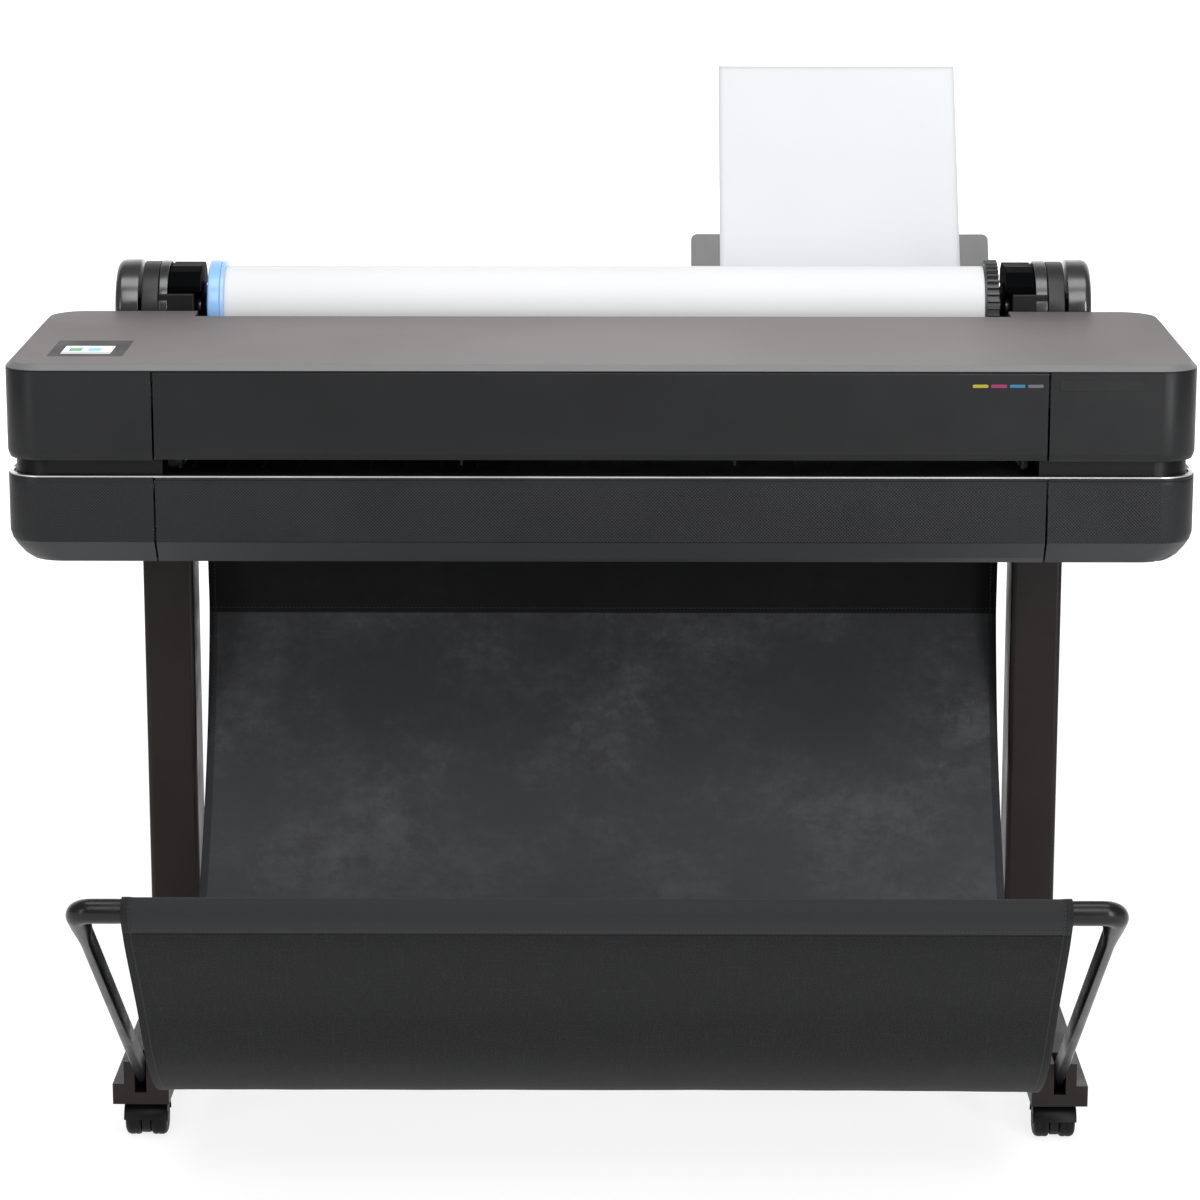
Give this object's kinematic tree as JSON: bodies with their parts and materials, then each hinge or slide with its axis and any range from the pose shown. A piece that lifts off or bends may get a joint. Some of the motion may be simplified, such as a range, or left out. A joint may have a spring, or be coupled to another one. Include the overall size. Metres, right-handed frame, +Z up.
{
  "type": "large format plotter",
  "caption": "Floor-standing roll-fed inkjet plotter with a hinged front cover, ink door, roll holder, sheet support, wheeled stand and folding fabric paper basket.",
  "frame": {"origin": "on the floor under the middle of the whole object: mid width, mid depth between the basket bar and the top of the loaded sheet", "axes": "+X to the right seen from the front and along the body, +Y to the rear, +Z up"},
  "size_m": [1.317, 1.2122, 1.1422],
  "materials": {
    "body_black": "fine moulded texture, charcoal black",
    "top_brown": "fine grain, warm grey brown, satin",
    "rear_black": "moulded, matt",
    "strip_silver": "satin silver",
    "stand_umber": "dark umber powder coat",
    "zinc_steel": "zinc plated",
    "caster_black": "moulded, matt",
    "wheel_rubber": "smooth",
    "basket_metal": "black semi-gloss paint",
    "basket_fabric": "woven, slightly napped",
    "display_frame": "semi-gloss",
    "display_glass": "lit panel",
    "mechanism_plastic": "moulded",
    "pinch_rubber": "smooth",
    "pulley_metal": "machined",
    "board_green": "solder resist",
    "ink_yellow": "moulded",
    "ink_magenta": "moulded",
    "ink_cyan": "moulded",
    "ink_black": "moulded",
    "cradle_black": "semi-gloss, moulded",
    "flange_blue": "semi-gloss, moulded",
    "flange_grey": "moulded",
    "paper_white": "uncoated bright white paper",
    "support_grey": "fine texture, mid grey"
  },
  "bodies": {
    "root": {"base_chassis": "zinc_steel", "basket_rear_fabric": "basket_fabric", "basket_rear_rod": "basket_metal", "carriage_belt": "pinch_rubber", "carriage_rail": "zinc_steel", "cartridge_bay": "mechanism_plastic", "display_bezel": "display_frame", "display_screen": "display_glass", "drive_motors": "pulley_metal", "exit_strip": "strip_silver", "left_foot": "stand_umber", "left_leg": "stand_umber", "left_lower_cover": "body_black", "left_upper_cover": "body_black", "loaded_sheet": "paper_white", "lower_front_cover": "body_black", "main_board": "board_green", "platen": "mechanism_plastic", "power_supply": "mechanism_plastic", "rear_cover": "rear_black", "rear_sockets": "mechanism_plastic", "right_foot": "stand_umber", "right_leg": "stand_umber", "right_lower_cover": "body_black", "right_upper_cover": "body_black", "roll_cradles": "cradle_black", "service_station": "mechanism_plastic", "sheet_support": "support_grey", "stand_cross_brace": "stand_umber", "stand_fasteners": "zinc_steel", "top_panel": "top_brown", "top_rim": "body_black"},
    "basket_frame": {"basket_bar": "basket_metal", "basket_arms": "basket_metal", "basket_front_fabric": "basket_fabric"},
    "access_cover": {"front_access_cover": "body_black"},
    "ink_door": {"cartridge_door": "body_black"},
    "carriage": {"print_carriage": "mechanism_plastic"},
    "drive_pulley": {"belt_drive_pulley": "pulley_metal"},
    "idler_pulley": {"belt_idler_pulley": "pulley_metal"},
    "feed_shaft": {"feed_roller": "zinc_steel"},
    "pinch_shaft": {"pinch_rollers": "pinch_rubber"},
    "roll": {"roll_spindle": "cradle_black", "blue_roll_flange": "flange_blue", "geared_roll_flange": "flange_grey", "paper_roll": "paper_white"},
    "roll_drive": {"spindle_drive_gear": "flange_grey"},
    "side_guide": {"sheet_side_guide": "support_grey"},
    "yellow_ink": {"yellow_cartridge": "ink_yellow"},
    "magenta_ink": {"magenta_cartridge": "ink_magenta"},
    "cyan_ink": {"cyan_cartridge": "ink_cyan"},
    "black_ink": {"black_cartridge": "ink_black"},
    "left_front_fork": {"left_front_caster_fork": "caster_black"},
    "left_front_wheels": {"left_front_caster_wheels": "wheel_rubber"},
    "left_rear_fork": {"left_rear_caster_fork": "caster_black"},
    "left_rear_wheels": {"left_rear_caster_wheels": "wheel_rubber"},
    "right_front_fork": {"right_front_caster_fork": "caster_black"},
    "right_front_wheels": {"right_front_caster_wheels": "wheel_rubber"},
    "right_rear_fork": {"right_rear_caster_fork": "caster_black"},
    "right_rear_wheels": {"right_rear_caster_wheels": "wheel_rubber"}
  },
  "joints": [
    {"name": "basket_fold", "type": "hinge", "parent": "root", "child": "basket_frame", "pos_m": [0, -0.1611, 0.073], "axis": [-1, 0, 0], "range_deg": [0, 45]},
    {"name": "access_cover_hinge", "type": "hinge", "parent": "root", "child": "access_cover", "pos_m": [0, -0.1041, 0.8596], "axis": [-1, 0, 0], "range_deg": [0, 75]},
    {"name": "ink_door_hinge", "type": "hinge", "parent": "root", "child": "ink_door", "pos_m": [0.57, -0.0821, 0.649], "axis": [1, 0, 0], "range_deg": [0, 75]},
    {"name": "yellow_cartridge_slide", "type": "slide", "parent": "root", "child": "yellow_ink", "axis": [0, -1, 0], "range_m": [0, 0.005]},
    {"name": "magenta_cartridge_slide", "type": "slide", "parent": "root", "child": "magenta_ink", "axis": [0, -1, 0], "range_m": [0, 0.005]},
    {"name": "cyan_cartridge_slide", "type": "slide", "parent": "root", "child": "cyan_ink", "axis": [0, -1, 0], "range_m": [0, 0.005]},
    {"name": "black_cartridge_slide", "type": "slide", "parent": "root", "child": "black_ink", "axis": [0, -1, 0], "range_m": [0, 0.005]},
    {"name": "carriage_slide", "type": "slide", "parent": "root", "child": "carriage", "axis": [-1, 0, 0], "range_m": [0, 1.1]},
    {"name": "drive_pulley_spin", "type": "hinge", "parent": "root", "child": "drive_pulley", "pos_m": [-0.57, 0.1129, 0.812], "axis": [0, 1, 0], "range_deg": [-6307.5, 5]},
    {"name": "idler_pulley_spin", "type": "hinge", "parent": "root", "child": "idler_pulley", "pos_m": [0.616, 0.1129, 0.812], "axis": [0, 1, 0], "range_deg": [-6307.5, 5]},
    {"name": "feed_roller_spin", "type": "hinge", "parent": "root", "child": "feed_shaft", "pos_m": [0, 0.0689, 0.7295], "axis": [1, 0, 0], "continuous": true},
    {"name": "pinch_roller_spin", "type": "hinge", "parent": "root", "child": "pinch_shaft", "pos_m": [0, 0.0689, 0.7517], "axis": [1, 0, 0], "continuous": true},
    {"name": "roll_spin", "type": "hinge", "parent": "root", "child": "roll", "pos_m": [0, 0.3269, 0.874], "axis": [1, 0, 0], "continuous": true},
    {"name": "roll_drive_spin", "type": "hinge", "parent": "root", "child": "roll_drive", "pos_m": [0.47, 0.3009, 0.80401], "axis": [1, 0, 0], "continuous": true},
    {"name": "side_guide_slide", "type": "slide", "parent": "root", "child": "side_guide", "axis": [-1, 0, 0], "range_m": [0, 0.018]},
    {"name": "left_front_caster_swivel", "type": "hinge", "parent": "root", "child": "left_front_fork", "pos_m": [-0.511, -0.1441, 0.04], "axis": [0, 0, 1], "continuous": true},
    {"name": "left_front_wheel_roll", "type": "hinge", "parent": "left_front_fork", "child": "left_front_wheels", "pos_m": [-0.511, -0.1561, 0.02], "axis": [1, 0, 0], "continuous": true},
    {"name": "left_rear_caster_swivel", "type": "hinge", "parent": "root", "child": "left_rear_fork", "pos_m": [-0.511, 0.3859, 0.04], "axis": [0, 0, 1], "continuous": true},
    {"name": "left_rear_wheel_roll", "type": "hinge", "parent": "left_rear_fork", "child": "left_rear_wheels", "pos_m": [-0.511, 0.3979, 0.02], "axis": [1, 0, 0], "continuous": true},
    {"name": "right_front_caster_swivel", "type": "hinge", "parent": "root", "child": "right_front_fork", "pos_m": [0.511, -0.1441, 0.04], "axis": [0, 0, 1], "continuous": true},
    {"name": "right_front_wheel_roll", "type": "hinge", "parent": "right_front_fork", "child": "right_front_wheels", "pos_m": [0.511, -0.1561, 0.02], "axis": [1, 0, 0], "continuous": true},
    {"name": "right_rear_caster_swivel", "type": "hinge", "parent": "root", "child": "right_rear_fork", "pos_m": [0.511, 0.3859, 0.04], "axis": [0, 0, 1], "continuous": true},
    {"name": "right_rear_wheel_roll", "type": "hinge", "parent": "right_rear_fork", "child": "right_rear_wheels", "pos_m": [0.511, 0.3979, 0.02], "axis": [1, 0, 0], "continuous": true}
  ],
  "couplings": [
    {"joint": "drive_pulley_spin", "follows": "carriage_slide", "rad_per_m": -100},
    {"joint": "idler_pulley_spin", "follows": "carriage_slide", "rad_per_m": -100},
    {"joint": "pinch_roller_spin", "follows": "feed_roller_spin", "ratio": -1.7949},
    {"joint": "roll_drive_spin", "follows": "roll_spin", "ratio": -3}
  ]
}
